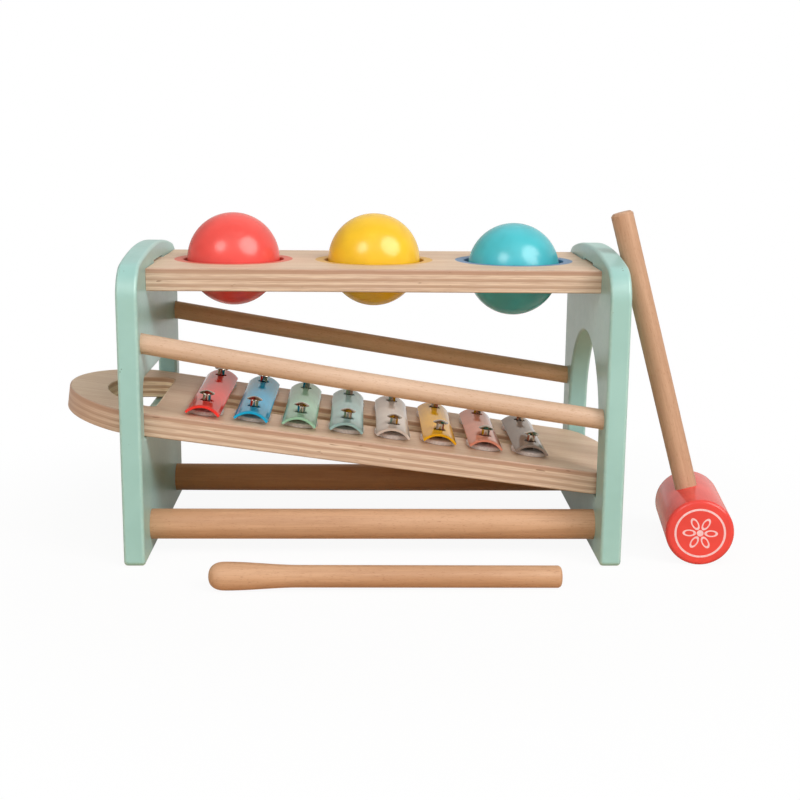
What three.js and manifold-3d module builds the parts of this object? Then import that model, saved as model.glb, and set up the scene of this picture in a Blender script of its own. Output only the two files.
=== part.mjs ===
// Xylophone pounding bench: three balls are struck through a plank, fall on a sloping xylophone that
// slides out by its handle, roll over its tone bars and leave by an arched window.
// Millimetres, X along the bench, Y from front to back, Z up from the floor.
import * as THREE from 'three';
import { mergeVertices } from 'three/addons/utils/BufferGeometryUtils.js';
import Module from 'manifold-3d';

// Fits and finish
const FIT = 0.3; // gap between pieces that seat on each other
const CHORD_ERROR = 0.1; // how far a facet may lie from its arc
const ROUND_SIDES = 20; // facets round a dowel
const SMALL_SIDES = 10; // facets round a pin
const PAD_SIDES = 12;
const LARGE_SIDES = 32; // facets round the hammer head and the ring grooves
const BALL_SIDES = 22;
const BALL_BANDS = 14;
const RING_SIDES = 26;
const RING_SECTION_SIDES = 8;
const SAME_POINT = 1e-4; // corners nearer than this are one

// Balls and top plank
const BALL_DIAMETER = 50;
const BALL_SPACING = 76.3;
const HOLE_CLEARANCE = 2; // all round between ball and hole
const BALL_SINK = { red: 0, yellow: 0, turquoise: 4.7 }; // centre below the plank's top
const PLANK_TOP = 149.3;
const PLANK_WIDTH = 101.8;
const PLANK_THICK = 11.7;
const PLANK_SHIFT = 7; // behind the middle of the end panels
const PLANK_ROUND = 0.6;
const TENON_WIDTH = 30;
const TENON_LENGTH = 7;
const MORTISE_HEADROOM = 1.1; // dark slit over each tenon
const GRIP_TUBE = 2.2; // radius of the elastic ring's section
const GRIP_DEPTH = 6.6; // ring's middle below the plank's top

// Xylophone
const BOARD_SLOPE = THREE.MathUtils.degToRad(7.9);
const BOARD_LEVEL = 60.7; // top face above the floor at mid-length
const BOARD_THICK = 12;
const BOARD_WIDE = 113.9; // width at the left panel
const BOARD_NARROW = 99.8; // width at the right panel
const BOARD_ROUND = 0.8;
const HANDLE_REACH = 37.6; // beyond the left panel
const HANDLE_SWELL = 5.2; // handle's radius beyond half the board's width
const HANDLE_BLEND = 20;
const FINGER_RIM = 20.5; // wood between finger hole and handle end
const FINGER_LENGTH = 30.6;
const FINGER_BLEND = 4;
const TAIL_REACH = 7.9; // beyond the right panel
const TAIL_RADIUS = 88;
const TAIL_BLEND = 12;
const SLOT_WIDE = 35.7; // resonance slot under the longest bar
const SLOT_NARROW = 20;
const SLOT_BLEND = 3;
const BAR_COLOURS = {
  red: 0xd8382e,
  blue: 0x3f9dbf,
  mint: 0x9fc9ab,
  aqua: 0xa9d3d4,
  cream: 0xe4dccb,
  yellow: 0xe8b32c,
  pink: 0xe0876f,
  grey: 0x8f8a86,
};
const BAR_PITCH = 24.8;
const BAR_ROW_SHIFT = -2.5; // row's middle along the board
const BAR_WIDTH = 18;
const BAR_THICK = 1.2;
const BAR_ARCH = 4.2; // crown above the bar's long edges
const BAR_LONGEST = 103;
const BAR_SHORTEST = 74;
const PIN_RATIO = 0.154; // pin to bar's end, in bar lengths
const BAR_HOLE = 6.6;
const PIN_SHANK = 4.2;
const PIN_HEAD = 8.1;
const PIN_STAND = 3.6; // head's underside above the bar
const PIN_CAP = 1.7;
const PIN_CAP_LINE = [[0.95, -0.2], [1, 0.15], [0.8, 0.6], [0.45, 0.9], [0, 1]]; // shares of head and cap
const PIN_DRIVEN = 8; // length in the board
const PIN_TIP = 1.8; // blunt end's diameter
const PAD_OVERHANG = 1; // felt washer beyond the bar's long edges
const PAD_THICK = 2;

// Guide rails and stretchers
const SOCKET_DEPTH = 7;
const DOWEL_CHAMFER = 0.8;
const RAIL_DIAMETER = 10.2;
const RAIL_SLOPE = THREE.MathUtils.degToRad(9.3);
const RAIL_LEVEL = 94.6; // at mid-length
const RAIL_OUTSIDE = 4.5; // middle of a rail outside the board's wide end
const STRETCHER_DIAMETER = 15.8;
const STRETCHER_LEVEL = 15.2;
const STRETCHER_FRONT = -45.6;
const STRETCHER_REAR = 49;

// End panels
const BENCH_LENGTH = 254;
const PANEL_THICK = 10.8;
const PANEL_RIM = 4.8; // wood outside the guide rails
const PANEL_ABOVE_PLANK = 9.4;
const PANEL_CROWN = 310; // radius along the top
const PANEL_CORNER = 18;
const PANEL_FOOT = 3;
const PANEL_ROUND = 1.8; // round-over of every edge
const ARCH_SPRING = 61.5; // where the right window's arch begins
const SLIDE_HEADROOM = 4; // left window above the pins
const SLIDE_SIDE = 2.2; // left window beside the board
const SLIDE_CORNER = 6;

// Hammer and beater
const HAMMER_DIAMETER = 34;
const HAMMER_LENGTH = 60;
const HAMMER_ROUND = 2.2;
const HAMMER_GRIP = 11.6; // handle's diameter
const HAMMER_TALL = 167.3; // handle's end from the head's middle
const HAMMER_SEAT = 8; // handle beyond the head's middle
const HAMMER_CHAMFER = 1.2;
const HAMMER_LEAN = THREE.MathUtils.degToRad(15.5);
const HAMMER_TURN = THREE.MathUtils.degToRad(-7);
const HAMMER_Y = -37;
const BEATER_LENGTH = 172;
const BEATER_BULB = 13.9;
const BEATER_BULB_AT = 8.5;
const BEATER_SHAFT = 10.9;
const BEATER_SHAFT_AT = 44;
const BEATER_NECK_STEPS = 4;
const BEATER_TIP = 2; // round-over of the shaft's end
const BEATER_X = 5.8;
const BEATER_Y = -102.3;
const BEATER_TURN = THREE.MathUtils.degToRad(1.2);

// Sizes that follow
const benchHalf = BENCH_LENGTH / 2;
const innerHalf = benchHalf - PANEL_THICK;
const ballRadius = BALL_DIAMETER / 2;
const holeRadius = ballRadius + HOLE_CLEARANCE;
const grooveRadius = ballRadius + 2 * (GRIP_TUBE + FIT);
const railY = BOARD_WIDE / 2 + RAIL_OUTSIDE;
const panelDepth = 2 * (railY + RAIL_DIAMETER / 2 + PANEL_RIM);
const panelHeight = PLANK_TOP + PANEL_ABOVE_PLANK;
const alongBoard = (x) => x / Math.cos(BOARD_SLOPE);
const boardTaper = (BOARD_WIDE - BOARD_NARROW) / 4 / alongBoard(innerHalf);
const boardMidHalf = (BOARD_WIDE + BOARD_NARROW) / 4;
const boardHalf = (u) => boardMidHalf - boardTaper * u;
const boardHeight = (x, above) =>
  BOARD_LEVEL - x * Math.tan(BOARD_SLOPE) + above / Math.cos(BOARD_SLOPE);
const handleRadius = boardHalf(-alongBoard(benchHalf)) + HANDLE_SWELL;
const handleCentre = -alongBoard(benchHalf + HANDLE_REACH) + handleRadius;
const tailCentre = alongBoard(benchHalf + TAIL_REACH) - TAIL_RADIUS;
const barFoot = PAD_THICK + 2 * FIT;
const barCrown = barFoot + BAR_ARCH;
const pinTop = barCrown + PIN_STAND + PIN_CAP;

const wasm = await Module();
wasm.setup();

// A closed geometry as a solid that can be cut.
function solid(geometry) {
  const bare = geometry.clone();
  bare.deleteAttribute('normal');
  bare.deleteAttribute('uv');
  const merged = mergeVertices(bare, SAME_POINT);
  const corners = merged.index.array;
  const triangles = [];
  for (let i = 0; i < corners.length; i += 3) {
    const [a, b, c] = corners.slice(i, i + 3);
    if (a !== b && b !== c && c !== a) triangles.push(a, b, c);
  }
  return new wasm.Manifold(new wasm.Mesh({
    numProp: 3,
    vertProperties: new Float32Array(merged.attributes.position.array),
    triVerts: new Uint32Array(triangles),
  }));
}

// The first geometry with all the others cut out of it.
function cut(geometry, cutters) {
  const left = cutters.reduce((rest, cutter) => rest.subtract(solid(cutter)), solid(geometry));
  const mesh = left.getMesh();
  const result = new THREE.BufferGeometry();
  result.setAttribute('position', new THREE.BufferAttribute(mesh.vertProperties, mesh.numProp));
  result.setIndex(new THREE.BufferAttribute(mesh.triVerts, 1));
  return result;
}

// Points of an arc, from one angle to another.
function arc(x, y, radius, from, to) {
  const step = 2 * Math.acos(1 - CHORD_ERROR / radius);
  const count = Math.max(2, Math.ceil(Math.abs(to - from) / step));
  return Array.from({ length: count + 1 }, (_, i) => {
    const angle = THREE.MathUtils.lerp(from, to, i / count);
    return new THREE.Vector2(x + radius * Math.cos(angle), y + radius * Math.sin(angle));
  });
}

// An outline that is the same on both sides of its x axis, from the points of its upper side.
function mirrored(upper) {
  const lower = upper.map((p) => new THREE.Vector2(p.x, -p.y)).reverse();
  return withoutRepeats([...upper, ...lower]);
}

function withoutRepeats(points) {
  const apart = (p, i) => p.distanceTo(points.at(i - 1)) > SAME_POINT;
  return points.filter(apart);
}

// A plate of this outline, its edges rounded over, from z = 0 up.
function plate(outline, holes, thick, round, steps) {
  const shape = new THREE.Shape(outline);
  shape.holes = holes.map((hole) => new THREE.Path(hole));
  const geometry = new THREE.ExtrudeGeometry(shape, {
    depth: thick - 2 * round,
    bevelEnabled: round > 0,
    bevelThickness: round,
    bevelSize: round,
    bevelOffset: -round,
    bevelSegments: steps,
  });
  return geometry.translate(0, 0, round);
}

// A turned piece, its profile given as [radius, height] from the foot up the z axis.
function turned(profile, sides) {
  const points = profile.map(([radius, height]) => new THREE.Vector2(radius, height));
  return new THREE.LatheGeometry(points, sides).rotateX(Math.PI / 2);
}

// A dowel along z, centred, with chamfered ends.
function dowel(diameter, length, chamfer, sides = ROUND_SIDES) {
  const radius = diameter / 2;
  const end = length / 2;
  return turned([
    [0, -end], [radius - chamfer, -end], [radius, chamfer - end],
    [radius, end - chamfer], [radius - chamfer, end], [0, end],
  ], sides);
}

function paint(color, roughness, metalness = 0) {
  return new THREE.MeshStandardMaterial({ color, roughness, metalness });
}

function place(group, name, geometry, material, x = 0, y = 0, z = 0) {
  const mesh = new THREE.Mesh(geometry, material);
  mesh.name = name;
  mesh.position.set(x, y, z);
  group.add(mesh);
  return mesh;
}

const mintPaint = paint(0xa9bda6, 0.55);
const plywood = paint(0xe3c4a3, 0.6);
const beech = paint(0xd9a878, 0.6);
const rubber = paint(0x2b2a29, 0.8);
const felt = paint(0xcfc8c2, 0.95);
const steel = paint(0xc9c9c7, 0.2, 1);
const ballColours = { red: 0xe8332f, yellow: 0xf6bd1e, turquoise: 0x35bccb };

// Bench: end panels, plank, rails and stretchers
const bench = new THREE.Group();

function panelOutline() {
  const half = panelDepth / 2;
  const crownZ = panelHeight - PANEL_CROWN;
  const cornerY = half - PANEL_CORNER;
  const cornerZ = crownZ + Math.sqrt((PANEL_CROWN - PANEL_CORNER) ** 2 - cornerY ** 2);
  const turn = Math.atan2(cornerZ - crownZ, cornerY);
  return withoutRepeats([
    ...arc(half - PANEL_FOOT, PANEL_FOOT, PANEL_FOOT, -Math.PI / 2, 0),
    ...arc(cornerY, cornerZ, PANEL_CORNER, 0, turn),
    ...arc(0, crownZ, PANEL_CROWN, turn, Math.PI - turn),
    ...arc(-cornerY, cornerZ, PANEL_CORNER, Math.PI - turn, Math.PI),
    ...arc(PANEL_FOOT - half, PANEL_FOOT, PANEL_FOOT, Math.PI, 1.5 * Math.PI),
  ]);
}

// Low wide window on the left: the board, its bars and pins slide out through it.
function slideWindow() {
  const sill = boardHeight(-innerHalf - PANEL_ROUND, -BOARD_THICK) - FIT;
  const top = boardHeight(-benchHalf, pinTop) + SLIDE_HEADROOM;
  const half = boardHalf(-alongBoard(benchHalf)) + SLIDE_SIDE;
  return withoutRepeats([
    new THREE.Vector2(-half, sill),
    new THREE.Vector2(half, sill),
    ...arc(half - SLIDE_CORNER, top - SLIDE_CORNER, SLIDE_CORNER, 0, Math.PI / 2),
    ...arc(SLIDE_CORNER - half, top - SLIDE_CORNER, SLIDE_CORNER, Math.PI / 2, Math.PI),
  ]);
}

// Tall arch on the right: the balls roll out through it over the board's tail.
function ballWindow() {
  const sill = boardHeight(benchHalf - PANEL_ROUND, -BOARD_THICK) - FIT;
  const half = boardHalf(alongBoard(benchHalf)) + FIT;
  return withoutRepeats([
    new THREE.Vector2(-half, sill),
    new THREE.Vector2(half, sill),
    ...arc(0, ARCH_SPRING, half, 0, Math.PI),
  ]);
}

const railLength = 2 * (innerHalf / Math.cos(RAIL_SLOPE) + SOCKET_DEPTH);
const stretcherLength = 2 * (innerHalf + SOCKET_DEPTH);
const dowels = [
  { name: 'guide_rail_front', y: -railY, rail: true },
  { name: 'guide_rail_rear', y: railY, rail: true },
  { name: 'stretcher_front', y: STRETCHER_FRONT },
  { name: 'stretcher_rear', y: STRETCHER_REAR },
].map(({ name, y, rail }) => ({
  name,
  diameter: rail ? RAIL_DIAMETER : STRETCHER_DIAMETER,
  length: rail ? railLength : stretcherLength,
  tilt: Math.PI / 2 + (rail ? RAIL_SLOPE : 0),
  at: new THREE.Vector3(0, y, rail ? RAIL_LEVEL : STRETCHER_LEVEL),
}));
for (const { name, diameter, length, tilt, at } of dowels) {
  const mesh = place(bench, name, dowel(diameter, length, DOWEL_CHAMFER), beech, ...at);
  mesh.rotation.y = tilt;
}

// What the dowels and tenons need cut out of the end panels.
const panelSockets = dowels.map(({ diameter, length, tilt, at }) =>
  dowel(diameter + 2 * FIT, length + 2 * FIT, 0).rotateY(tilt).translate(...at));
const mortiseTop = PLANK_TOP + MORTISE_HEADROOM;
const mortiseFoot = PLANK_TOP - PLANK_THICK - FIT;
panelSockets.push(
  new THREE.BoxGeometry(
    2 * (innerHalf + TENON_LENGTH + FIT), TENON_WIDTH + 2 * FIT, mortiseTop - mortiseFoot,
  ).translate(0, 0, (mortiseTop + mortiseFoot) / 2),
);

const uprightAcross = new THREE.Matrix4().makeBasis(
  new THREE.Vector3(0, 1, 0), new THREE.Vector3(0, 0, 1), new THREE.Vector3(1, 0, 0),
);
function endPanel(window, x) {
  const panel = plate(panelOutline(), [window], PANEL_THICK, PANEL_ROUND, 2);
  return cut(panel.applyMatrix4(uprightAcross).translate(x, 0, 0), panelSockets);
}
place(bench, 'left_end_panel', endPanel(slideWindow(), -benchHalf), mintPaint);
place(bench, 'right_end_panel', endPanel(ballWindow(), innerHalf), mintPaint);

// The plank's outline has a stub tenon at each end; a groove round each hole seats a grip ring.
function topPlank() {
  const shoulder = innerHalf - FIT;
  const tip = innerHalf + TENON_LENGTH;
  const front = PLANK_SHIFT - PLANK_WIDTH / 2;
  const rear = PLANK_SHIFT + PLANK_WIDTH / 2;
  const tenon = TENON_WIDTH / 2;
  const rightSide = [[shoulder, front], [shoulder, -tenon], [tip, -tenon], [tip, tenon],
    [shoulder, tenon], [shoulder, rear]];
  const leftSide = rightSide.map(([x, y]) => [-x, y]).reverse();
  const outline = [...rightSide, ...leftSide].map(([x, y]) => new THREE.Vector2(x, y));
  const holes = [-1, 0, 1].map((step) =>
    withoutRepeats(arc(step * BALL_SPACING, PLANK_SHIFT, holeRadius, 0, 2 * Math.PI)));
  const grooveTall = 2 * (GRIP_TUBE + FIT);
  const grooves = [-1, 0, 1].map((step) =>
    dowel(2 * grooveRadius, grooveTall, 0, LARGE_SIDES)
      .translate(step * BALL_SPACING, PLANK_SHIFT, PLANK_THICK - GRIP_DEPTH));
  return cut(plate(outline, holes, PLANK_THICK, PLANK_ROUND, 1), grooves);
}
place(bench, 'top_plank', topPlank(), plywood, 0, 0, PLANK_TOP - PLANK_THICK);

// Balls, each held by the elastic ring that it has stretched to where it touches.
Object.entries(BALL_SINK).forEach(([colour, sink], i) => {
  const x = (i - 1) * BALL_SPACING;
  const reach = ballRadius + GRIP_TUBE + FIT;
  const ringRadius = Math.sqrt(reach ** 2 - (GRIP_DEPTH - sink) ** 2);
  const ring = new THREE.TorusGeometry(ringRadius, GRIP_TUBE, RING_SECTION_SIDES, RING_SIDES);
  place(bench, `grip_ring_${colour}`, ring, rubber, x, PLANK_SHIFT, PLANK_TOP - GRIP_DEPTH);
  const ball = new THREE.SphereGeometry(ballRadius, BALL_SIDES, BALL_BANDS).rotateX(Math.PI / 2);
  const lacquer = paint(ballColours[colour], 0.3);
  place(bench, `ball_${colour}`, ball, lacquer, x, PLANK_SHIFT, PLANK_TOP - sink);
});

// Xylophone: everything lies in the sloping frame of the board's top face.
const xylophone = new THREE.Group();
xylophone.position.z = BOARD_LEVEL;
xylophone.rotation.y = BOARD_SLOPE;

// Rounded corner between the board's upper side and an end arc, as the arc angles where it turns.
function endBlend(centre, radius, blend, side) {
  const offset = boardMidHalf - blend * Math.hypot(1, boardTaper);
  const a = 1 + boardTaper ** 2;
  const b = -centre - boardTaper * offset;
  const c = centre ** 2 + offset ** 2 - (radius - blend) ** 2;
  const u = (-b + side * Math.sqrt(b ** 2 - a * c)) / a;
  const v = offset - boardTaper * u;
  return { u, v, angle: Math.atan2(v, u - centre) };
}

function boardOutline() {
  const tail = endBlend(tailCentre, TAIL_RADIUS, TAIL_BLEND, 1);
  const handle = endBlend(handleCentre, handleRadius, HANDLE_BLEND, -1);
  const sideNormal = Math.PI / 2 - Math.atan(boardTaper);
  return mirrored([
    ...arc(tailCentre, 0, TAIL_RADIUS, 0, tail.angle),
    ...arc(tail.u, tail.v, TAIL_BLEND, tail.angle, sideNormal),
    ...arc(handle.u, handle.v, HANDLE_BLEND, sideNormal, handle.angle),
    ...arc(handleCentre, 0, handleRadius, handle.angle, Math.PI),
  ]);
}

// The finger hole follows the handle's round end and is straight towards the bars.
function fingerHole() {
  const radius = handleRadius - FINGER_RIM;
  const straight = handleCentre - radius + FINGER_LENGTH;
  const u = straight - FINGER_BLEND;
  const v = Math.sqrt((radius - FINGER_BLEND) ** 2 - (u - handleCentre) ** 2);
  const turn = Math.atan2(v, u - handleCentre);
  return mirrored([
    ...arc(u, v, FINGER_BLEND, 0, turn),
    ...arc(handleCentre, 0, radius, turn, Math.PI),
  ]);
}

const bars = Object.entries(BAR_COLOURS).map(([colour, hex], i, all) => {
  const last = all.length - 1;
  const length = THREE.MathUtils.lerp(BAR_LONGEST, BAR_SHORTEST, i / last);
  const u = BAR_ROW_SHIFT + (i - last / 2) * BAR_PITCH;
  return { name: `${i + 1}_${colour}`, hex, length, u, pinV: length * (0.5 - PIN_RATIO) };
});

// The slot ends under the first and the last bar.
function resonanceSlot() {
  const left = bars[0].u;
  const right = bars.at(-1).u;
  return mirrored([
    ...arc(right - SLOT_BLEND, SLOT_NARROW / 2 - SLOT_BLEND, SLOT_BLEND, 0, Math.PI / 2),
    ...arc(left + SLOT_BLEND, SLOT_WIDE / 2 - SLOT_BLEND, SLOT_BLEND, Math.PI / 2, Math.PI),
  ]);
}

function boardGeometry() {
  const blank = plate(boardOutline(), [fingerHole(), resonanceSlot()], BOARD_THICK, BOARD_ROUND, 1);
  const pilots = bars.flatMap(({ u, pinV }) => [-pinV, pinV].map((v) =>
    dowel(PIN_SHANK + 2 * FIT, 2 * (PIN_DRIVEN + FIT), 0, SMALL_SIDES).translate(u, v, BOARD_THICK)));
  return cut(blank, pilots);
}
place(xylophone, 'xylophone_board', boardGeometry(), plywood, 0, 0, -BOARD_THICK);

// An arched bar rests on felt washers along its two long edges, with a loose hole for each pin.
function toneBar(length, pinV) {
  const outer = ((BAR_WIDTH / 2) ** 2 + BAR_ARCH ** 2) / (2 * BAR_ARCH);
  const inner = outer - BAR_THICK;
  const centre = barCrown - outer;
  const outerTurn = Math.asin((barFoot - centre) / outer);
  const innerTurn = Math.asin((barFoot - centre) / inner);
  const section = withoutRepeats([
    ...arc(0, centre, outer, outerTurn, Math.PI - outerTurn),
    ...arc(0, centre, inner, Math.PI - innerTurn, innerTurn),
  ]);
  const bar = plate(section, [], length, 0, 1).rotateX(Math.PI / 2).translate(0, length / 2, 0);
  return cut(bar, [-pinV, pinV].map((v) =>
    dowel(BAR_HOLE, 2 * BAR_ARCH, 0, SMALL_SIDES).translate(0, v, barCrown)));
}

// A mushroom-headed pin: thin cap, slightly hollow underneath, on a bright shank.
function pinGeometry() {
  const shank = PIN_SHANK / 2;
  const head = PIN_HEAD / 2;
  const under = barCrown + PIN_STAND;
  const cap = PIN_CAP_LINE.map(([out, up]) => [out * head, under + up * PIN_CAP]);
  return turned([
    [0, -PIN_DRIVEN], [PIN_TIP / 2, -PIN_DRIVEN], [shank, shank - PIN_DRIVEN], [shank, under], ...cap,
  ], SMALL_SIDES);
}

// A felt washer round the pin, a little wider than the bar that lies on it.
function feltPad() {
  const rim = BAR_WIDTH / 2 + PAD_OVERHANG;
  const hole = PIN_SHANK / 2 + FIT;
  return turned([[hole, 0], [rim, 0], [rim, PAD_THICK], [hole, PAD_THICK], [hole, 0]], PAD_SIDES);
}

for (const { name, hex, length, u, pinV } of bars) {
  place(xylophone, `tone_bar_${name}`, toneBar(length, pinV), paint(hex, 0.25, 0.3), u);
  for (const [end, v] of [['front', -pinV], ['rear', pinV]]) {
    place(xylophone, `bar_pin_${name}_${end}`, pinGeometry(), steel, u, v);
    place(xylophone, `felt_pad_${name}_${end}`, feltPad(), felt, u, v, FIT);
  }
}

// Hammer: its head lies on the floor and its handle leans on the right panel's rounded edge.
const hammer = new THREE.Group();
const hammerRadius = HAMMER_DIAMETER / 2;
const restHeight = panelHeight - PANEL_CROWN + Math.sqrt(PANEL_CROWN ** 2 - HAMMER_Y ** 2) - PANEL_ROUND;
const leanRise = (restHeight - hammerRadius) * Math.sin(HAMMER_LEAN);
const leanOut = (leanRise + PANEL_ROUND + HAMMER_GRIP / 2 + FIT) / Math.cos(HAMMER_LEAN);
hammer.position.set(benchHalf - PANEL_ROUND + leanOut, HAMMER_Y, hammerRadius);
hammer.rotation.set(0, -HAMMER_LEAN, HAMMER_TURN, 'ZYX');

function hammerHead() {
  const end = HAMMER_LENGTH / 2 - HAMMER_ROUND;
  const edge = hammerRadius - HAMMER_ROUND;
  const rim = arc(edge, end, HAMMER_ROUND, 0, Math.PI / 2).map(({ x, y }) => [x, y]);
  const foot = rim.map(([radius, height]) => [radius, -height]).reverse();
  const head = turned([[0, -end - HAMMER_ROUND], ...foot, ...rim, [0, end + HAMMER_ROUND]], LARGE_SIDES);
  const boreLength = 2 * hammerRadius;
  const bore = dowel(HAMMER_GRIP + 2 * FIT, boreLength, 0)
    .translate(0, 0, boreLength / 2 - HAMMER_SEAT - FIT);
  return cut(head.rotateX(Math.PI / 2), [bore]);
}
place(hammer, 'hammer_head', hammerHead(), paint(0xe23a33, 0.35));
const handleLength = HAMMER_TALL + HAMMER_SEAT;
place(hammer, 'hammer_handle', dowel(HAMMER_GRIP, handleLength, HAMMER_CHAMFER), beech, 0, 0,
  handleLength / 2 - HAMMER_SEAT);

// Beater: a turned stick that rests on its bulb and on the end of its shaft.
function beaterGeometry() {
  const bulb = BEATER_BULB / 2;
  const shaft = BEATER_SHAFT / 2;
  const dome = arc(0, BEATER_BULB_AT, BEATER_BULB_AT, -Math.PI / 2, 0)
    .map(({ x, y }) => [x * bulb / BEATER_BULB_AT, y]);
  const neck = Array.from({ length: BEATER_NECK_STEPS }, (_, i) => {
    const share = (i + 1) / BEATER_NECK_STEPS;
    const thinner = THREE.MathUtils.smoothstep(share, -1 / BEATER_NECK_STEPS, 1);
    return [
      THREE.MathUtils.lerp(bulb, shaft, thinner),
      THREE.MathUtils.lerp(BEATER_BULB_AT, BEATER_SHAFT_AT, share),
    ];
  });
  const tip = arc(shaft - BEATER_TIP, BEATER_LENGTH - BEATER_TIP, BEATER_TIP, 0, Math.PI / 2)
    .map(({ x, y }) => [x, y]);
  return turned([...dome, ...neck, ...tip, [0, BEATER_LENGTH]], ROUND_SIDES);
}
const beater = new THREE.Group();
const droop = Math.asin((BEATER_BULB - BEATER_SHAFT) / 2 / (BEATER_LENGTH - BEATER_BULB_AT));
beater.position.set(BEATER_X, BEATER_Y, (BEATER_BULB + BEATER_SHAFT) / 4);
beater.rotation.set(0, Math.PI / 2 + droop, BEATER_TURN, 'ZYX');
place(beater, 'beater', beaterGeometry(), beech, 0, 0, -BEATER_LENGTH / 2);

// The origin is the middle of the floor area that the whole set takes.
const set = new THREE.Group();
set.add(bench, xylophone, hammer, beater);
set.updateMatrixWorld(true);
const box = new THREE.Box3().setFromObject(set, true);
const centre = box.getCenter(new THREE.Vector3());
set.position.set(-centre.x, -centre.y, -box.min.z);

export default set;
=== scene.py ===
"""Looks of the xylophone pounding bench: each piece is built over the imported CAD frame, in metres."""
import math
from functools import partialmethod

import bmesh
import bpy
from mathutils import Matrix, Vector
from mathutils.geometry import tessellate_polygon


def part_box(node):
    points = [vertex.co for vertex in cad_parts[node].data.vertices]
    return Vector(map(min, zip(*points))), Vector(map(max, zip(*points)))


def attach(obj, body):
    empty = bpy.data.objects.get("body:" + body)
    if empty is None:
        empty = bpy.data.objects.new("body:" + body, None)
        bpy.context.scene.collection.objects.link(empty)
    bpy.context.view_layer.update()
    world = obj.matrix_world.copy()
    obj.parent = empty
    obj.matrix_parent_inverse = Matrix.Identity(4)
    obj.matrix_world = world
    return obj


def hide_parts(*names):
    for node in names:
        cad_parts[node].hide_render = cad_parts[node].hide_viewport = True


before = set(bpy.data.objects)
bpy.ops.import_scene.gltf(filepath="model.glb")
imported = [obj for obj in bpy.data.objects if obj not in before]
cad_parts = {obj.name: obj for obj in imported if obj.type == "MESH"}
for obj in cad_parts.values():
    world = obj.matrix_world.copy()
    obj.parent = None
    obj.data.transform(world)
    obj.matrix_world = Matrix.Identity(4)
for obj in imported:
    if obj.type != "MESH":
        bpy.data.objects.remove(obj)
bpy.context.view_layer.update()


# End panels: two boards sawn to one arched outline, routed round along every edge and sprayed with satin
# mint paint. The left one has a low window for the xylophone, the right one a tall arch for the balls.
# Blind holes in their inner faces take the four dowels and the tenons of the top plank.
MM = 0.001
RIGHT_ANGLE = math.pi / 2
left_low, left_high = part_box("left_end_panel")
right_low, right_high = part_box("right_end_panel")
bench_x = (left_low.x + right_high.x) / 2
bench_y = (left_low.y + left_high.y) / 2
panel_thick = left_high.x - left_low.x
panel_half = (left_high.y - left_low.y) / 2
panel_height = left_high.z
inner_x = right_low.x - bench_x
outer_x = right_high.x - bench_x
panel_round = 1.8 * MM
joint_gap = 0.12 * MM

board_slope = math.radians(7.9)
along_slope = 1 / math.cos(board_slope)
board_level = 60.7 * MM
board_thick = 12 * MM
board_wide, board_narrow = 113.9 * MM, 99.8 * MM
board_mean_half = (board_wide + board_narrow) / 4
board_taper = (board_wide - board_narrow) / 4 / (inner_x * along_slope)


def board_half(u):
    """Half the xylophone board's width, at u along it."""
    return board_mean_half - board_taper * u


def board_height(x, above):
    """Height over the floor of a spot above the xylophone board's top face."""
    return board_level - x * math.tan(board_slope) + above * along_slope


def full_turn(count):
    """Angles of so many points all round."""
    return [2 * math.pi * k / count for k in range(count)]


def quarter_turn(count):
    """Angles of so many steps through a quarter of a turn."""
    return [RIGHT_ANGLE * k / count for k in range(count + 1)]


def arc_points(a, b, radius, start, end):
    """Points along an arc, so close that no facet shows."""
    facet_depth = 0.01 * MM
    step = 2 * math.acos(1 - min(facet_depth / radius, 0.1))
    count = max(3, math.ceil(abs(end - start) / step))
    turns = [start + (end - start) * i / count for i in range(count + 1)]
    return [(a + radius * math.cos(t), b + radius * math.sin(t)) for t in turns]


def mirrored(right):
    """An outline from its right half."""
    return right + [(-a, b) for a, b in reversed(right)]


def saw_line(path, is_hole):
    """A closed path with the wood on its left.

    Each corner is its point, its mitre and the outward directions before and after it.
    """
    kept = [p for i, p in enumerate(path) if math.dist(p, path[i - 1]) > 1e-7]
    area = sum(p[0] * q[1] - q[0] * p[1] for p, q in zip(kept, kept[1:] + kept[:1]))
    if (area < 0) != is_hole:
        kept.reverse()
    corners = []
    for i, spot in enumerate(kept):
        spot = Vector(spot)
        before = spot - Vector(kept[i - 1])
        after = Vector(kept[(i + 1) % len(kept)]) - spot
        near = Vector((before.y, -before.x)).normalized()
        far = Vector((after.y, -after.x)).normalized()
        mitre = (near + far) / (1 + near.dot(far))
        if near.dot(far) > 0.9:
            near = far = mitre.normalized()
        corners.append((spot, mitre, near, far))
    return corners


def placed(name, data):
    """A new object in the scene, at the origin."""
    item = bpy.data.objects.new(name, data)
    bpy.context.scene.collection.objects.link(item)
    return item


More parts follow.
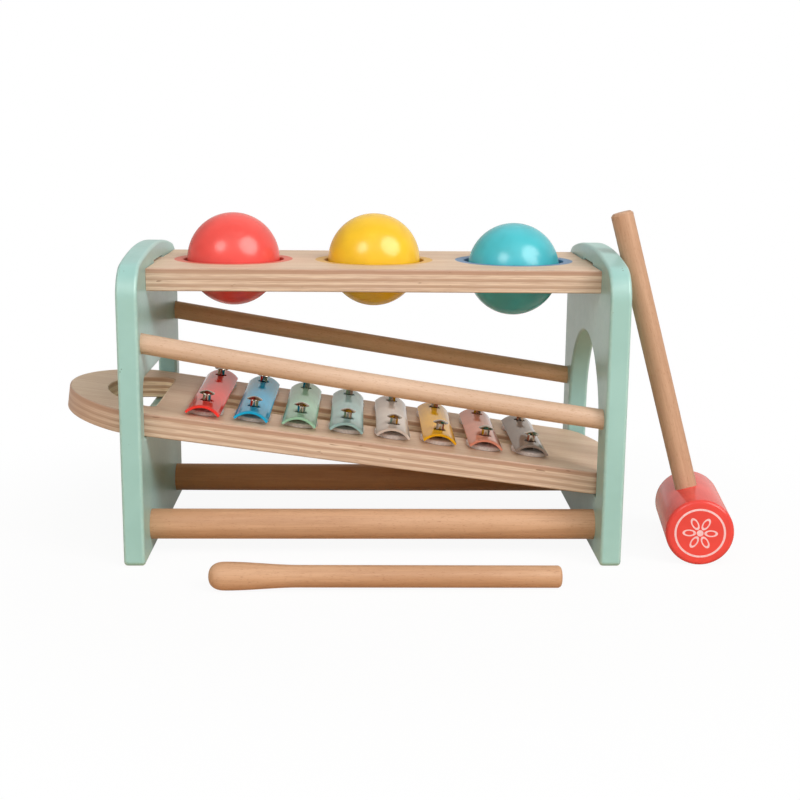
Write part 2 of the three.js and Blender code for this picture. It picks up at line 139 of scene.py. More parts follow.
def sawn_board(name, placing, thick, round_over, outline, holes=(), pockets=(), groove=(), steps=5):
    """A board with through holes, all edges rounded over, and blind pockets with plain edges.

    The attribute edge_wear_and_highlight is strongest on the round-overs. The attribute sawn_edge is 0 on the two
    faces, 0.5 round the outline and 1 inside holes and pockets.
    """
    flat, points, wear_and_highlight = [], [], []
    faces, sawn, normals = [], [], []
    turning = placing.to_3x3()

    def ring(corners, inset, height, shift=(0, 0), rubbed=0.0):
        first = len(points)
        for spot, mitre, _, _ in corners:
            place = spot - mitre * inset + Vector(shift)
            flat.append(place)
            points.append(placing @ Vector((place.x, place.y, height)))
            wear_and_highlight.append(rubbed)
        return range(first, len(points))

    def wall(corners, low, high, low_lean=(1, 0), high_lean=(1, 0), cut=1.0):
        for i in range(len(corners)):
            j = (i + 1) % len(corners)
            faces.append((low[i], low[j], high[j], high[i]))
            sawn.append(cut)
            start, end = corners[i][3], corners[j][2]
            for out, lean in ((start, low_lean), (end, low_lean), (end, high_lean), (start, high_lean)):
                normals.append(turning @ Vector((out.x * lean[0], out.y * lean[0], lean[1])))

    def cap(rings, up):
        order = [i for r in rings for i in r]
        for triangle in tessellate_polygon([[flat[i].to_3d() for i in r] for r in rings]):
            a, b, c = (order[k] for k in triangle)
            if ((flat[b] - flat[a]).cross(flat[c] - flat[a]) > 0) != (up > 0):
                b, c = c, b
            faces.append((a, b, c))
            sawn.append(0.0)
            normals.extend([turning @ Vector((0, 0, up))] * 3)

    foot = [(round_over * (1 - math.sin(t)), round_over * (1 - math.cos(t)), math.sin(t), -math.cos(t))
            for t in quarter_turn(steps)]
    head = [(inset, thick - height, across, -up) for inset, height, across, up in reversed(foot)]
    lower, upper = [], []
    for path, is_hole in [(outline, False)] + [(hole, True) for hole in holes]:
        corners = saw_line(path, is_hole)
        profile = foot + ([(inset, height, 0, 0) for inset, height in groove] if is_hole else []) + head
        # The round-overs are marked so that the paint there turns paler: partly worn paint, partly a painted
        # highlight.
        rings = [ring(corners, inset, height, rubbed=2 * abs(across * up))
                 for inset, height, across, up in profile]
        for k in range(len(profile) - 1):
            near, far = profile[k], profile[k + 1]
            leans = [near[2:], far[2:]]
            if (0, 0) in leans:
                slant = Vector((far[1] - near[1], far[0] - near[0])).normalized()
                leans = [tuple(slant)] * 2
            wall(corners, rings[k], rings[k + 1], *leans, 1.0 if is_hole else 0.5)
        lower.append(rings[0])
        upper.append(rings[-1])
    for on_top, path, shift, depth in pockets:
        corners = saw_line(path, True)
        rim = ring(corners, 0, thick if on_top else 0)
        floor = ring(corners, 0, thick - depth if on_top else depth, shift)
        wall(corners, floor if on_top else rim, rim if on_top else floor)
        (upper if on_top else lower).append(rim)
        faces.append(tuple(reversed(floor)) if on_top else tuple(floor))
        sawn.append(1.0)
        normals.extend([turning @ Vector((0, 0, 1 if on_top else -1))] * len(floor))
    cap(lower, -1)
    cap(upper, 1)

    mesh = bpy.data.meshes.new(name)
    mesh.from_pydata(points, [], faces)
    mesh.shade_smooth()
    mesh.attributes.new("edge_wear_and_highlight", "FLOAT", "POINT").data.foreach_set("value", wear_and_highlight)
    mesh.attributes.new("sawn_edge", "FLOAT", "FACE").data.foreach_set("value", sawn)
    mesh.normals_split_custom_set(normals)
    return placed(name, mesh)


def swatch(red, green, blue):
    """A colour as a paint card gives it, 0 to 255, for a shader."""
    return tuple(((c / 255 + 0.055) / 1.055) ** 2.4 if c > 10 else c / 255 / 12.92
                 for c in (red, green, blue)) + (1.0,)


class Value:
    """What a node gives. Numbers among them can be reckoned with."""

    def __init__(self, recipe, socket):
        self.recipe, self.socket = recipe, socket

    def reckon(self, operation, *others):
        return self.recipe.make("ShaderNodeMath", dict(enumerate((self, *others))), operation=operation)

    __add__ = partialmethod(reckon, "ADD")
    __sub__ = partialmethod(reckon, "SUBTRACT")
    __mul__ = partialmethod(reckon, "MULTIPLY")
    __truediv__ = partialmethod(reckon, "DIVIDE")
    __abs__ = partialmethod(reckon, "ABSOLUTE")
    __gt__ = partialmethod(reckon, "GREATER_THAN")


class Recipe:
    """The node tree of a finish or of a shape, with short ways to add to it."""

    def __init__(self, tree):
        self.tree = tree

    def values(self, outputs):
        return [Value(self, socket) for socket in outputs]

    def fill(self, node, sockets):
        """Gives each of these sockets its number or its link."""
        for key, value in sockets.items():
            if isinstance(value, Value):
                self.tree.links.new(value.socket, node.inputs[key])
            else:
                node.inputs[key].default_value = value

    def add(self, kind, sockets=(), **settings):
        node = self.tree.nodes.new(kind)
        for key, setting in settings.items():
            setattr(node, key, setting)
        self.fill(node, dict(sockets))
        return node

    def make(self, kind, sockets=(), output=0, **settings):
        """One output of a new node."""
        return Value(self, self.add(kind, sockets, **settings).outputs[output])

    def mix(self, share, first, second, mode="MIX"):
        """A colour mixed from two."""
        sockets = {0: share, 6: first, 7: second}
        return self.make("ShaderNodeMix", sockets, 2, data_type="RGBA", blend_type=mode)

    def between(self, value, low, high, to_low=0.0, to_high=1.0):
        """A value from low to high, mapped smoothly to another range."""
        return self.make("ShaderNodeMapRange", {0: value, 1: low, 2: high, 3: to_low, 4: to_high},
                         interpolation_type="SMOOTHSTEP")

    def noise(self, vector, spots, detail=2.0):
        """Soft noise around 0.5, with so many spots in a metre, all ways alike or along each axis."""
        spread = self.make("ShaderNodeMapping", {
            "Vector": vector, "Scale": spots if isinstance(spots, tuple) else (spots,) * 3})
        return self.make("ShaderNodeTexNoise", {"Vector": spread, "Scale": 1.0, "Detail": detail})

    def vector(self, **axes):
        return self.make("ShaderNodeCombineXYZ", axes)

    def axes(self, vector):
        return self.values(self.add("ShaderNodeSeparateXYZ", {0: vector}).outputs)

    def spot(self):
        """Where a point of the piece lies."""
        return self.make("ShaderNodeTexCoord", output="Object")

    def attribute(self, name):
        return self.make("ShaderNodeAttribute", output="Fac", attribute_name=name)

    def group(self, recipe, sockets):
        return self.values(self.add("ShaderNodeGroup", sockets, node_tree=recipe.tree).outputs)

    def finish(self, colour, roughness, height, depth, others=()):
        """Sets the shader of a material, with bumps of this depth."""
        bumps = self.make("ShaderNodeBump", {"Height": height, "Distance": depth})
        sockets = {"Base Color": colour, "Roughness": roughness, "Normal": bumps}
        self.fill(self.tree.nodes["Principled BSDF"], sockets | dict(others))


def new_group(name, inputs, outputs, kind="ShaderNodeTree"):
    """A new node group with these sockets: its recipe and the values it is given."""
    tree = bpy.data.node_groups.new(name, kind)
    for in_out, sockets in (("INPUT", inputs), ("OUTPUT", outputs)):
        for socket, sort in sockets.items():
            tree.interface.new_socket(name=socket, in_out=in_out, socket_type="NodeSocket" + sort)
    recipe = Recipe(tree)
    given = recipe.values(tree.nodes.new("NodeGroupInput").outputs)
    return recipe, {value.socket.name: value for value in given}


def new_material(name):
    """A material with one Principled shader, and its recipe."""
    material = bpy.data.materials.new(name)
    material.use_nodes = True
    return material, Recipe(material.node_tree)


# Sprayed paint: faint clouds, a few dust specks under the coat, thinner and paler on rounded edges. The
# paler
# # tone there is partly thin paint and partly a painted highlight on the round-overs.
coat_sockets = {"Colour": "Color", "Roughness": "Float", "Height": "Float"}
spray, given = new_group(
    "sprayed_paint", {"Colour": "Color", "Thin Paint And Highlight Colour": "Color", "Edge": "Float"}, coat_sockets)
spot = spray.spot()
cloud = spray.between(spray.noise(spot, 45, 3), 0.35, 0.65)
patches = spray.noise(spot, 420)
# Paler paint on the round-overs: partly thin paint, partly a painted highlight.
thin_and_highlight = given["Edge"] * spray.between(patches, 0.3, 0.7, 0.25, 0.75)
dust = spray.make("ShaderNodeTexVoronoi", {"Vector": spot, "Scale": 210.0}, "Distance")
few = spray.between(spray.noise(spot, 130, 1), 0.58, 0.64)
specks = spray.between(dust, 0.06, 0.11, 1, 0) * few
deep = spray.mix(1.0, given["Colour"], (0.93, 0.945, 0.94, 1), "MULTIPLY")
dusty = spray.mix(1.0, given["Colour"], (0.45, 0.42, 0.38, 1), "MULTIPLY")
coat = spray.mix(cloud, deep, given["Colour"])
coat = spray.mix(thin_and_highlight, coat, given["Thin Paint And Highlight Colour"])
peel = spray.noise(spot, 380, 1)
spray.add("NodeGroupOutput", {
    "Colour": spray.mix(specks * 0.75, coat, dusty),
    "Roughness": spray.between(patches, 0.3, 0.7, 0.29, 0.36),
    "Height": specks * 0.3 + peel,
})

mint_paint, recipe = new_material("mint_paint")
# The paler tone for the round-overs is partly thin paint and partly a painted highlight.
coat = recipe.group(spray, {"Colour": swatch(163, 208, 204), "Thin Paint And Highlight Colour": swatch(184, 220, 214),
                            "Edge": recipe.attribute("edge_wear_and_highlight")})
recipe.finish(*coat, 0.006 * MM)

crown_radius, corner_radius, foot_radius, sill_radius = 310 * MM, 18 * MM, 3 * MM, 1 * MM
crown_z = panel_height - crown_radius
corner_y = panel_half - corner_radius
corner_z = crown_z + math.sqrt((crown_radius - corner_radius) ** 2 - corner_y ** 2)
crown_turn = math.atan2(corner_z - crown_z, corner_y)
panel_outline = mirrored(
    arc_points(panel_half - foot_radius, foot_radius, foot_radius, -RIGHT_ANGLE, 0)
    + arc_points(corner_y, corner_z, corner_radius, 0, crown_turn)
    + arc_points(0, crown_z, crown_radius, crown_turn, RIGHT_ANGLE))


def window(half, sill, top):
    """A window's outline: a straight sill and the points over it, given for the right half."""
    return mirrored(arc_points(half - sill_radius, sill + sill_radius, sill_radius, -RIGHT_ANGLE, 0) + top)


pin_top, over_pins = 12.1 * MM, 4 * MM
slide_gap, wedge_gap = 2.2 * MM, 0.3 * MM
slide_half = board_half(-outer_x * along_slope) + slide_gap
slide_top = board_height(-outer_x, pin_top) + over_pins
slide_corner = 6 * MM
slide_window = window(
    slide_half, board_height(-inner_x - panel_round, -board_thick) - wedge_gap,
    arc_points(slide_half - slide_corner, slide_top - slide_corner, slide_corner, 0, RIGHT_ANGLE))
arch_half, arch_level = board_half(outer_x * along_slope) + wedge_gap, 61.5 * MM
ball_window = window(
    arch_half, board_height(outer_x - panel_round, -board_thick) - wedge_gap,
    arc_points(0, arch_level, arch_half, 0, RIGHT_ANGLE))

rail_radius, rail_slope, rail_level = 5.1 * MM, math.radians(9.3), 94.6 * MM
rail_y = (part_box("guide_rail_rear")[1].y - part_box("guide_rail_front")[0].y) / 2 - rail_radius
stretcher_radius, stretcher_level = 7.9 * MM, 15.2 * MM
stretcher_spots = [(-45.6 * MM, stretcher_level), (49 * MM, stretcher_level)]
socket_depth = 7 * MM
tenon_half = 15 * MM
plank_low, plank_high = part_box("top_plank")
mortise_top = plank_high.z + 1.1 * MM


def panel_pockets(side, on_top):
    """Blind holes in an inner face: side is -1 on the left panel and 1 on the right one."""
    drop = -side * math.tan(rail_slope)
    radius = rail_radius + joint_gap
    level = rail_level + drop * inner_x
    pockets = []
    for y in (-rail_y, rail_y):
        oval = [(y + radius * math.cos(t), level + radius / math.cos(rail_slope) * math.sin(t))
                for t in full_turn(48)]
        pockets.append((on_top, oval, (0, drop * socket_depth), socket_depth))
    for y, z in stretcher_spots:
        bore = arc_points(y, z, stretcher_radius + joint_gap, 0, 2 * math.pi)
        pockets.append((on_top, bore, (0, 0), socket_depth))
    wide, low = tenon_half + joint_gap, plank_low.z - joint_gap
    slit = [(-wide, low), (wide, low), (wide, mortise_top), (-wide, mortise_top)]
    pockets.append((on_top, slit, (0, 0), socket_depth + joint_gap))
    return pockets


for side, lower_x, panel_window, node in ((-1, left_low.x, slide_window, "left_end_panel"),
                                         (1, right_low.x, ball_window, "right_end_panel")):
    upright = Matrix(((0, 0, 1, lower_x), (1, 0, 0, bench_y), (0, 1, 0, 0), (0, 0, 0, 1)))
    panel = sawn_board("painted_" + node, upright, panel_thick, panel_round, panel_outline, [panel_window],
                       panel_pockets(side, side < 0))
    panel.data.materials.append(mint_paint)
    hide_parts(node)
    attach(panel, "bench")


# Dowels: two thin guide rails that slope with the ball run and two thick stretchers near the floor, cut
# from beech rod, sanded and left bare. Their ends are glued in the panels' blind holes.
def turned_piece(name, line, placing, sides=64):
    """A piece turned on a lathe from a line of (radius, height) along the z axis of its placing."""
    shape = bmesh.new()
    rings = []
    for radius, height in line:
        turns = full_turn(sides) if radius > 1e-7 else [0]
        rings.append([shape.verts.new(placing @ Vector((radius * math.cos(t), radius * math.sin(t), height)))
                      for t in turns])
    for low, high in zip(rings, rings[1:]):
        for k in range(sides):
            m = (k + 1) % sides
            corners = [low[k % len(low)], low[m % len(low)], high[m % len(high)], high[k % len(high)]]
            shape.faces.new(dict.fromkeys(corners))
    mesh = bpy.data.meshes.new(name)
    shape.to_mesh(mesh)
    shape.free()
    mesh.shade_smooth()
    mesh.set_sharp_from_angle(angle=math.radians(38))
    return placed(name, mesh)


# Wood grain: long streaks along x, finer lines in them, and the short dark flecks of beech.
grain, given = new_group("wood_grain", {
    "Vector": "Vector", "Pale": "Color", "Dark": "Color", "Fleck Colour": "Color", "Streaks": "Float",
    "Flecks": "Float"}, coat_sockets)
broad = grain.noise(given["Vector"], (9, 75, 75), 3)
streak = grain.noise(given["Vector"], (16, 420, 420), 4)
fine = grain.noise(given["Vector"], (70, 1700, 1700), 3)
tone = grain.between(broad * 0.45 + streak * 0.35 + fine * 0.2, 0.38, 0.62)
dash = grain.between(grain.noise(given["Vector"], (430, 3000, 3000), 1), 0.62, 0.7)
streaked = grain.mix(tone * given["Streaks"], given["Pale"], given["Dark"])
grain.add("NodeGroupOutput", {
    "Colour": grain.mix(dash * given["Flecks"], streaked, given["Fleck Colour"]),
    "Roughness": grain.between(fine, 0.3, 0.7, 0.44, 0.58),
    "Height": fine - dash * 0.8,
})


def own_frame(recipe, origin, along):
    """The spot in a piece's own frame, with x along its grain."""
    turn = Vector((1, 0, 0)).rotation_difference(along).to_euler()
    return recipe.make("ShaderNodeMapping", {"Vector": recipe.spot(), "Location": origin, "Rotation": turn},
                       vector_type="TEXTURE")


def beech_finish(name, origin, along, pale=(212, 169, 134), dark=(192, 147, 112)):
    """Bare sanded beech whose grain runs along this direction."""
    material, recipe = new_material(name)
    wood = recipe.group(grain, {
        "Vector": own_frame(recipe, origin, along), "Pale": swatch(*pale), "Dark": swatch(*dark),
        "Fleck Colour": swatch(165, 112, 74), "Streaks": 0.9, "Flecks": 0.4})
    recipe.finish(*wood, 0.06 * MM, {"Specular IOR Level": 0.3})
    return material


def placed_along(middle, along):
    """Placing of a turned piece whose z axis points along this direction."""
    return Matrix.Translation(middle) @ Vector((0, 0, 1)).rotation_difference(along).to_matrix().to_4x4()


def rod_line(radius, length, chamfer, spans=1):
    """A rod with chamfered ends, its length cut into spans so that it can bow."""
    end = length / 2
    sides = [(radius, (end - chamfer) * (2 * k / spans - 1)) for k in range(spans + 1)]
    return [(0, -end), (radius - chamfer, -end)] + sides + [(radius - chamfer, end), (0, end)]


rail_along = Vector((math.cos(rail_slope), 0, -math.sin(rail_slope)))
rail_length = 2 * (inner_x / math.cos(rail_slope) + 0.9 * socket_depth)
level_along = Vector((1, 0, 0))
seated = 0.95 * socket_depth
stretcher_length = 2 * (inner_x + seated)
rod_chamfer, rod_spans = 0.8 * MM, 24
grain_apart = Vector((0.3, 0, 0))
# Each rod has its own tones. The rear stretcher's darker, more saturated tones are painted shade from the
# board above it, and the rear rail's lighter, more golden tones are painted warm light in the plank's shade.
for node, y, z, radius, along, length, bow, pale, dark in (
    ("guide_rail_front", -rail_y, rail_level, rail_radius, rail_along, rail_length, 1.1 * MM,
     (221, 191, 167), (206, 173, 147)),
    ("guide_rail_rear", rail_y, rail_level, rail_radius, rail_along, rail_length, 0.5 * MM,
     (226, 188, 148), (211, 170, 128)),
    ("stretcher_front", *stretcher_spots[0], stretcher_radius, level_along, stretcher_length, 0.0,
     (212, 169, 134), (192, 147, 112)),
    ("stretcher_rear", *stretcher_spots[1], stretcher_radius, level_along, stretcher_length, 0.2 * MM,
     (202, 148, 100), (182, 127, 82)),
):
    middle = Vector((bench_x, bench_y + y, z))
    rod = turned_piece("beech_" + node, rod_line(radius, length, rod_chamfer, rod_spans),
                       placed_along(middle, along))
    for vertex in rod.data.vertices:
        vertex.co.z -= bow * max(0, 1 - ((vertex.co.x - bench_x) / inner_x) ** 2)
    origin = middle + grain_apart * (1 + 9 * y)
    rod.data.materials.append(beech_finish("beech_" + node, origin, along, pale, dark))
    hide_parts(node)
    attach(rod, "bench")


# Top plank: birch plywood with a clear coat, its layers showing on the edges and in the ball holes. A band
# of coloured stain rings each hole, and a stub tenon at each end sits in a mortise of the end panel.
band_tints = {"red": (222, 106, 88), "yellow": (224, 178, 82), "turquoise": (84, 136, 182)}
ball_centres = {colour: sum(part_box("ball_" + colour), Vector()) / 2 for colour in band_tints}
hole_radius, band_radius = 27 * MM, 32 * MM
plank_thick, plank_round = plank_high.z - plank_low.z, 0.6 * MM
shoulder, tenon_tip = inner_x - 0.1 * MM, inner_x + seated
front, rear = plank_low.y - bench_y, plank_high.y - bench_y

# Plywood layers: Depth runs from the lower face, 0, to the upper one, 1. Cross layers show end grain.
plies, given = new_group("ply_layers", {"Vector": "Vector", "Depth": "Float", "End Grain": "Float"},
                         {"Colour": "Color", "Height": "Float"})
wander = plies.between(plies.noise(given["Vector"], (22, 22, 40)), 0.3, 0.7, -0.014, 0.014)
layers = plies.add("ShaderNodeValToRGB", {0: given["Depth"] + wander})
ramp = layers.color_ramp
ramp.interpolation = "EASE"
stops = [(0.0, (194, 168, 146)), (0.07, (223, 200, 178)), (0.17, (221, 198, 176)), (0.21, (190, 160, 138)),
         (0.31, (201, 172, 150)), (0.35, (226, 204, 182)), (0.46, (221, 197, 175)), (0.49, (190, 160, 138)),
         (0.58, (203, 174, 153)), (0.63, (227, 205, 184)), (0.76, (223, 200, 178)), (0.79, (194, 160, 138)),
         (0.9, (184, 147, 126)), (0.97, (202, 169, 149)), (1.0, (219, 193, 173))]
while len(ramp.elements) < len(stops):
    ramp.elements.new(0.5)
for element, (place, colour) in zip(ramp.elements, stops):
    element.position = place
    element.color = swatch(*colour)
fibre = plies.noise(given["Vector"], (90, 90, 1500), 3)
saw = plies.noise(given["Vector"], (14, 14, 1300))
worked = fibre * 0.5 + saw * 0.5
pit = plies.between(plies.noise(given["Vector"], (120, 120, 520), 1), 0.73, 0.79)
layered, _ = plies.values(layers.outputs)
lines = plies.mix(plies.between(worked, 0.4, 0.62, 0.0, 0.5), layered, swatch(180, 143, 118))
lines = plies.mix(given["End Grain"], lines, swatch(208, 170, 145))
plies.add("NodeGroupOutput", {
    "Colour": plies.mix(pit * 0.55, lines, swatch(132, 88, 58)),
    "Height": worked - pit,
})

# Stained band: 1 between two radii around an upright axis, soft where the stain bleeds into the grain.
bands, given = new_group(
    "stained_band", {"Vector": "Vector", "Centre": "Vector", "Inner": "Float", "Outer": "Float"},
    {"Mask": "Float"})
offset = bands.make("ShaderNodeVectorMath", {0: given["Vector"], 1: given["Centre"]}, operation="SUBTRACT")
x, y, _ = bands.axes(offset)
fibres = bands.noise(given["Vector"], (300, 900, 900))
bleed = 0.18 * MM
reach = (x * x + y * y).reckon("SQRT") + bands.between(fibres, 0.3, 0.7, -bleed, bleed)
inside_outer = bands.between(reach - given["Outer"], -0.2 * MM, 0.2 * MM, 1, 0)
outside_inner = bands.between(reach - given["Inner"], -0.8 * MM, -0.2 * MM)
bands.add("NodeGroupOutput", {"Mask": inside_outer * outside_inner})


def plywood_finish(name, origin, along, thick, stains=()):
    """Birch plywood: veneer on the faces, layers on the sawn edges, and stained bands on the upper face."""
    material, recipe = new_material(name)
    local = own_frame(recipe, origin, along)
    veneer, roughness, pores = recipe.group(grain, {
        "Vector": local, "Pale": swatch(233, 207, 182), "Dark": swatch(216, 182, 154),
        "Fleck Colour": swatch(193, 152, 122), "Streaks": 0.85, "Flecks": 0.25})
    across = recipe.axes(local)[2]
    facing = recipe.axes(recipe.make("ShaderNodeNewGeometry", output="Normal"))
    layers, ridges = recipe.group(plies, {
        "Vector": local, "Depth": across * (1 / thick) + 1.0,
        "End Grain": recipe.between(abs(facing[0]), 0.3, 0.95, 0.0, 0.6)})
    sawn = recipe.attribute("sawn_edge")
    edge, inside = sawn > 0.25, sawn > 0.75
    # Walls inside holes and pockets get paler layers with stronger contrast: painted light on walls that lie
    # in shade.
    lightness = recipe.between(recipe.make("ShaderNodeRGBToBW", {0: layers}), 0.32, 0.58)
    painted_light_walls = recipe.mix(lightness, swatch(186, 147, 118), swatch(250, 230, 200))
    surface = recipe.mix(edge, veneer, recipe.mix(inside, layers, painted_light_walls))
    # The band reaches down the upper half of each hole wall. On the upper face it is stain; on the wall it
    # is a painted reflection of the ball.
    stain_and_reflection_depth = recipe.between(across, -0.8 * thick, -0.5 * thick)
    for tint, centre in stains:
        [band] = recipe.group(bands, {
            "Vector": local, "Centre": centre - origin, "Inner": hole_radius, "Outer": band_radius})
        stain_and_reflection = recipe.mix(0.9, surface, swatch(*tint))
        surface = recipe.mix(band * stain_and_reflection_depth, surface, stain_and_reflection)
    height = recipe.make("ShaderNodeMix", {0: edge, 2: pores, 3: ridges})
    recipe.finish(surface, roughness, height, 0.06 * MM, {"Specular IOR Level": 0.35})
    return material


plank_outline = mirrored([
    (shoulder, front), (shoulder, -tenon_half), (tenon_tip, -tenon_half), (tenon_tip, tenon_half),
    (shoulder, tenon_half), (shoulder, rear)])
ball_holes = [arc_points(c.x - bench_x, c.y - bench_y, hole_radius, 0, 2 * math.pi)
              for c in ball_centres.values()]
ring_depth, ring_tube = 6.6 * MM, 2.2 * MM
groove_deep, groove_half = 3 * MM, ring_tube + 0.2 * MM
groove_low = plank_thick - ring_depth - groove_half
groove_high = plank_thick - ring_depth + groove_half
groove = [(0, groove_low), (groove_deep, groove_low), (groove_deep, groove_high), (0, groove_high)]
plank = sawn_board("birch_plank", Matrix.Translation((bench_x, bench_y, plank_low.z)), plank_thick,
                   plank_round, plank_outline, ball_holes, groove=groove, steps=3)
plank.data.materials.append(plywood_finish(
    "birch_plank", Vector((bench_x, bench_y, plank_high.z)), level_along, plank_thick,
    [(tint, ball_centres[colour]) for colour, tint in band_tints.items()]))
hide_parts("top_plank")
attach(plank, "bench")


# Grip rings: elastic cords of dark rubber in a groove round each ball hole. They hold the balls up until
# a blow pushes them through.
def new_maker(name, inputs):
    """A new geometry tree that makes pieces from these inputs."""
    return new_group(name, inputs, {"Geometry": "Geometry"}, "GeometryNodeTree")


def finish_maker(maker, geometry, material):
    """Ends a maker: one real mesh with its finish."""
    single = maker.make("GeometryNodeRealizeInstances", {"Geometry": geometry})
    maker.add("NodeGroupOutput", {
        0: maker.make("GeometryNodeSetMaterial", {"Geometry": single, "Material": material})})


def made_by_nodes(name, maker, values, extra=()):
    """The mesh that a maker and any finishing modifiers give, as a plain object."""
    piece = placed(name, bpy.data.meshes.new(name))
    steps = piece.modifiers.new("making", "NODES")
    steps.node_group = maker.tree
    for socket in maker.tree.interface.items_tree:
        if socket.in_out == "INPUT":
            steps[socket.identifier] = values[socket.name]
    for kind, settings in extra:
        finishing = piece.modifiers.new(kind.lower(), kind)
        for key, value in settings.items():
            setattr(finishing, key, value)
    graph = bpy.context.evaluated_depsgraph_get()
    mesh = bpy.data.meshes.new_from_object(piece.evaluated_get(graph), depsgraph=graph)
    piece.modifiers.clear()
    piece.data = mesh
    mesh.name = name
    return piece


hoop, given = new_maker("grip_ring_bending", {
    "Ring Radius": "Float", "Tube Radius": "Float", "Centre": "Vector", "Finish": "Material"})
path, section = (hoop.make("GeometryNodeCurvePrimitiveCircle", {"Resolution": count, "Radius": radius})
                 for count, radius in ((96, given["Ring Radius"]), (20, given["Tube Radius"])))
tube = hoop.make("GeometryNodeCurveToMesh", {"Curve": path, "Profile Curve": section})
finish_maker(hoop, hoop.make("GeometryNodeTransform", {
    "Geometry": tube, "Translation": given["Centre"]}), given["Finish"])

rubber, recipe = new_material("dark_rubber")
bloom = recipe.noise(recipe.spot(), 350, 3)
recipe.finish(recipe.mix(bloom, swatch(34, 32, 31), swatch(58, 55, 53)),
              recipe.between(bloom, 0.3, 0.7, 0.6, 0.8), recipe.noise(recipe.spot(), 1800), 0.04 * MM)

ball_radius, ball_gap = 25 * MM, 0.3 * MM
ring_level = plank_high.z - ring_depth
for colour, centre in ball_centres.items():
    grip = math.sqrt((ball_radius + ring_tube + ball_gap) ** 2 - (centre.z - ring_level) ** 2)
    ring = made_by_nodes("rubber_ring_" + colour, hoop, {
        "Ring Radius": grip, "Tube Radius": ring_tube, "Centre": (centre.x, centre.y, ring_level),
        "Finish": rubber})
    ring.data.shade_smooth()
    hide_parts("grip_ring_" + colour)
    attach(ring, "bench")


# Balls: turned from solid beech, sprayed with gloss lacquer. A small flat with a ring round it is left at
# each end of the turning axis, where the lathe held the wood.
gloss, given = new_group("gloss_lacquer", {"Colour": "Color", "Scuffs": "Float"}, coat_sockets)
spot = gloss.spot()
cloud = gloss.between(gloss.noise(spot, 60, 3), 0.35, 0.65)
deep = gloss.mix(1.0, given["Colour"], (0.92, 0.9, 0.9, 1), "MULTIPLY")
scratch = gloss.between(gloss.noise(spot, (900, 160, 420)), 0.67, 0.72) * given["Scuffs"]
rubbed = gloss.between(gloss.noise(spot, 140, 3), 0.35, 0.7, 0.22, 0.25)
gloss.add("NodeGroupOutput", {
    "Colour": gloss.mix(cloud, deep, given["Colour"]),
    "Roughness": rubbed + scratch * 0.03,
    "Height": gloss.noise(spot, 330) - scratch * 0.2,
})


def lacquer_finish(name, tint, scuffs=0.5, shine=0.42):
    """Gloss lacquer on smooth turned wood."""
    material, recipe = new_material(name)
    coat = recipe.group(gloss, {"Colour": swatch(*tint), "Scuffs": scuffs})
    recipe.finish(*coat, 0.02 * MM, {"Specular IOR Level": shine})
    return material


flat_radius, ring_groove = 1.6 * MM, 0.12 * MM
flat_turn = math.asin(flat_radius / ball_radius)
flat_height = ball_radius * math.cos(flat_turn)
ball_steps, ring_step = 72, 3
ball_line = [(0, -flat_height)]
for k in range(ball_steps + 1):
    t = flat_turn + (math.pi - 2 * flat_turn) * k / ball_steps
    reach = ball_radius - (ring_groove if k in (ring_step, ball_steps - ring_step) else 0)
    ball_line.append((reach * math.sin(t), -reach * math.cos(t)))
ball_line.append((0, flat_height))
for colour, tint, axis in (
    ("red", (246, 92, 86), (0.14, -0.69, 0.71)),
    ("yellow", (252, 205, 52), (0.8, 0.3, 0.52)),
    ("turquoise", (82, 198, 212), (-0.75, 0.45, 0.48)),
):
    ball = turned_piece("lacquered_ball_" + colour, ball_line,
                        placed_along(ball_centres[colour], Vector(axis).normalized()), 96)
    ball.data.materials.append(lacquer_finish("lacquer_" + colour, tint))
    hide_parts("ball_" + colour)
    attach(ball, "ball_" + colour)


# Xylophone board: birch plywood with a clear coat. A round handle with a finger hole stands out of the left
# window, its sides taper to the right so that it wedges in the arch, and a slot under the bars lets them
# ring. Pilot holes take the pins.
sloping = Matrix.Translation((bench_x, bench_y, board_level)) @ Matrix.Rotation(board_slope, 4, "Y")
board_along = Vector((math.cos(board_slope), 0, -math.sin(board_slope)))
board_round = 0.8 * MM
handle_swell, handle_reach, tail_reach = 5.2 * MM, 37.6 * MM, 7.9 * MM
handle_radius = board_half(-outer_x * along_slope) + handle_swell
handle_centre = -(outer_x + handle_reach) * along_slope + handle_radius
tail_radius = 88 * MM
tail_centre = (outer_x + tail_reach) * along_slope - tail_radius
tail_blend, grip_blend = 12 * MM, 20 * MM


def end_blend(centre, radius, blend, side):
    """Where a rounded corner joins the board's side to an end arc: its middle and the arc's angle."""
    middle = board_mean_half - blend * math.hypot(1, board_taper)
    a = 1 + board_taper ** 2
    b = -centre - board_taper * middle
    c = centre ** 2 + middle ** 2 - (radius - blend) ** 2
    u = (-b + side * math.sqrt(b ** 2 - a * c)) / a
    v = middle - board_taper * u
    return u, v, math.atan2(v, u - centre)


def both_sides(upper):
    """An outline from its upper half."""
    return upper + [(u, -v) for u, v in reversed(upper)]


